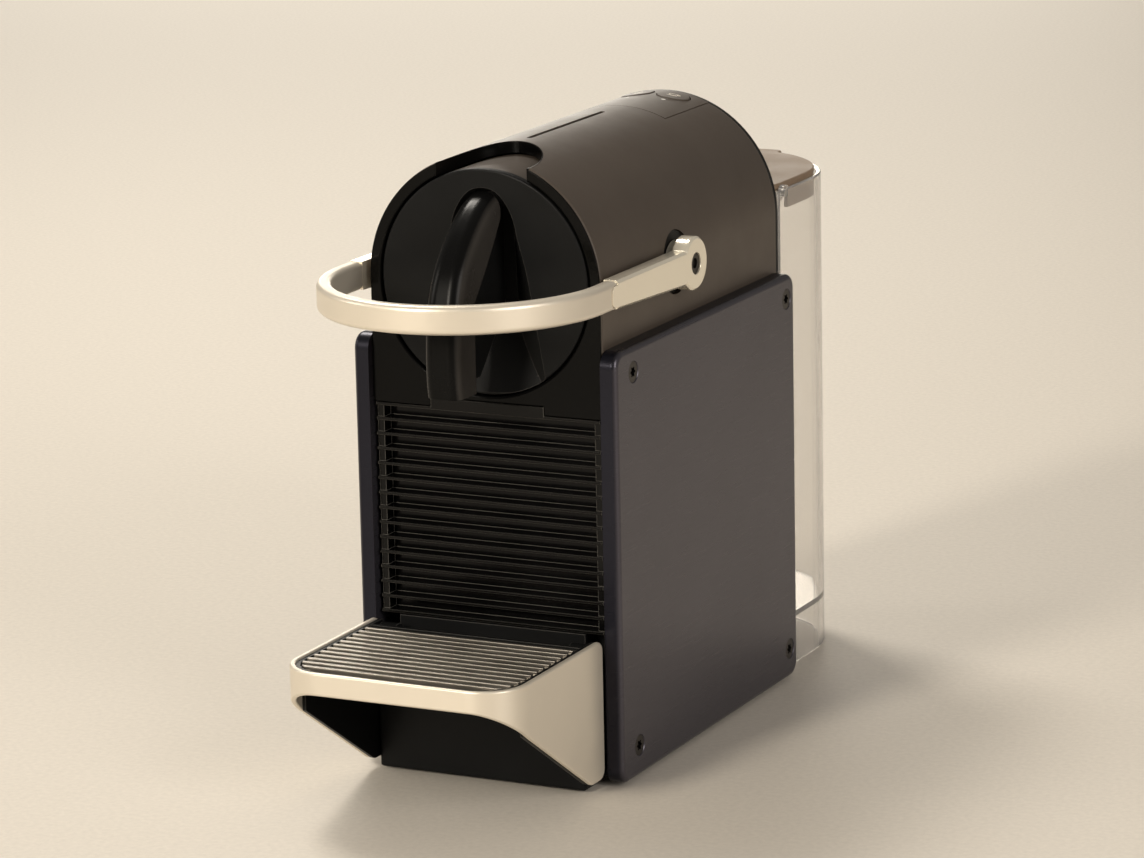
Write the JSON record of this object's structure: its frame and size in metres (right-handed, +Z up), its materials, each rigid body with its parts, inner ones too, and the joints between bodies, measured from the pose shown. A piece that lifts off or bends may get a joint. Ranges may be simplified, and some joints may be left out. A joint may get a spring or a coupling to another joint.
{
  "type": "pod coffee machine",
  "caption": "Slim capsule coffee machine with a barrel-vaulted hood, bow lever, sliding brew head, folding cup support, capsule bin and clear rear water tank.",
  "frame": {"origin": "on the table, under the middle of the bounding box", "axes": "+Z up, -Y towards the user (the front), +X to the right of someone facing the front"},
  "size_m": [0.111, 0.3264, 0.2353],
  "materials": {
    "brown_plastic": "satin, moulded",
    "black_gloss": "polished",
    "black_satin": "fine matt grain",
    "grey_plastic": "plain moulded",
    "blue_aluminium": "fine-brushed, anodised",
    "champagne": "satin, blasted",
    "chrome": "polished",
    "steel": "plain",
    "dark_steel": "blackened",
    "cast_aluminium": "cast",
    "rubber": "matt",
    "silicone": "matt",
    "clear_plastic": "clear, polished",
    "tan_plastic": "satin",
    "light_plastic": "frosted",
    "board": "lacquered",
    "grid_metal": "satin, rounded slats",
    "rib_gloss": "polished ribs",
    "coil": "varnished winding"
  },
  "bodies": {
    "chassis": {"hood": "brown_plastic", "front_frame": "black_gloss", "capsule_slot_liner": "black_gloss", "control_plate": "brown_plastic", "light_guides": "light_plastic", "control_board": "board", "button_switches": "black_satin", "rear_cover": "black_satin", "base_plate": "black_satin", "base_screws": "steel", "lever_bushes": "black_satin", "side_frames": "black_satin", "inner_frame": "black_satin", "guide_rails": "grey_plastic", "panel_screws": "dark_steel", "rubber_feet": "rubber", "capsule_cage": "grey_plastic", "cage_seal": "silicone", "piercing_needles": "steel", "capsule_chute": "grey_plastic", "thermoblock": "cast_aluminium", "pump_coil": "coil", "pump_body": "grey_plastic", "pump_mounts": "rubber", "pump_bracket": "steel", "flow_meter": "grey_plastic", "suction_tubes": "silicone", "pressure_tubes": "light_plastic", "cord_gland": "rubber", "tank_dock": "black_satin", "dock_seal": "silicone", "side_panel_left": "blue_aluminium", "side_panel_right": "blue_aluminium"},
    "lever": {"lever_bow": "champagne", "lever_arm_left": "chrome", "lever_arm_right": "chrome", "lever_axles": "steel", "hub_plugs": "dark_steel"},
    "brew_head": {"head_disc": "black_satin", "head_shell": "brown_plastic", "outlet_cover": "black_gloss", "coffee_spout": "black_satin", "outlet_block": "grey_plastic", "pierce_plate": "steel", "drawbars": "steel"},
    "button_left": {"button_left": "brown_plastic"},
    "button_right": {"button_right": "brown_plastic"},
    "water_tank": {"water_tank": "clear_plastic", "tank_valve": "grey_plastic", "lid_hinge_pins": "steel"},
    "tank_lid": {"tank_lid": "tan_plastic"},
    "drawer": {"drip_base": "black_satin", "support_hinge_pins": "steel"},
    "capsule_bin": {"capsule_bin": "black_satin", "capsule_bin_front": "rib_gloss"},
    "cup_support": {"cup_support": "champagne", "drip_tray": "black_satin"},
    "drip_grid": {"drip_grid": "grid_metal"},
    "pump_piston": {"pump_piston": "steel"}
  },
  "joints": [
    {"name": "lever_lift", "type": "hinge", "parent": "chassis", "child": "lever", "pos_m": [0, -0.0142, 0.1863], "axis": [-1, 0, 0], "range_deg": [0, 100]},
    {"name": "brew_head_slide", "type": "slide", "parent": "chassis", "child": "brew_head", "axis": [0, -1, 0], "range_m": [0, 0.0301]},
    {"name": "button_left_press", "type": "slide", "parent": "chassis", "child": "button_left", "axis": [0, 0, -1], "range_m": [0, 0.0012], "stiffness_N_per_m": 300},
    {"name": "button_right_press", "type": "slide", "parent": "chassis", "child": "button_right", "axis": [0, 0, -1], "range_m": [0, 0.0012], "stiffness_N_per_m": 300},
    {"name": "tank_lift", "type": "slide", "parent": "chassis", "child": "water_tank", "axis": [0, 0, 1], "range_m": [0, 0.06]},
    {"name": "tank_lid_hinge", "type": "hinge", "parent": "water_tank", "child": "tank_lid", "pos_m": [0, 0.0904, 0.1946], "axis": [1, 0, 0], "range_deg": [0, 88]},
    {"name": "drawer_slide", "type": "slide", "parent": "chassis", "child": "drawer", "axis": [0, -1, 0], "range_m": [0, 0.12]},
    {"name": "capsule_bin_slide", "type": "slide", "parent": "drawer", "child": "capsule_bin", "axis": [0, -1, 0], "range_m": [0, 0.104]},
    {"name": "cup_support_fold", "type": "hinge", "parent": "drawer", "child": "cup_support", "pos_m": [0, -0.0872, 0.0515], "axis": [1, 0, 0], "range_deg": [-90, 0]},
    {"name": "drip_grid_lift", "type": "slide", "parent": "cup_support", "child": "drip_grid", "axis": [0, 0, 1], "range_m": [0, 0.088]},
    {"name": "pump_piston_stroke", "type": "slide", "parent": "chassis", "child": "pump_piston", "axis": [0, 0, 1], "range_m": [-0.005, 0.005], "stiffness_N_per_m": 400}
  ],
  "couplings": [
    {"joint": "brew_head_slide", "follows": "lever_lift", "m_per_rad": 0.017189}
  ]
}
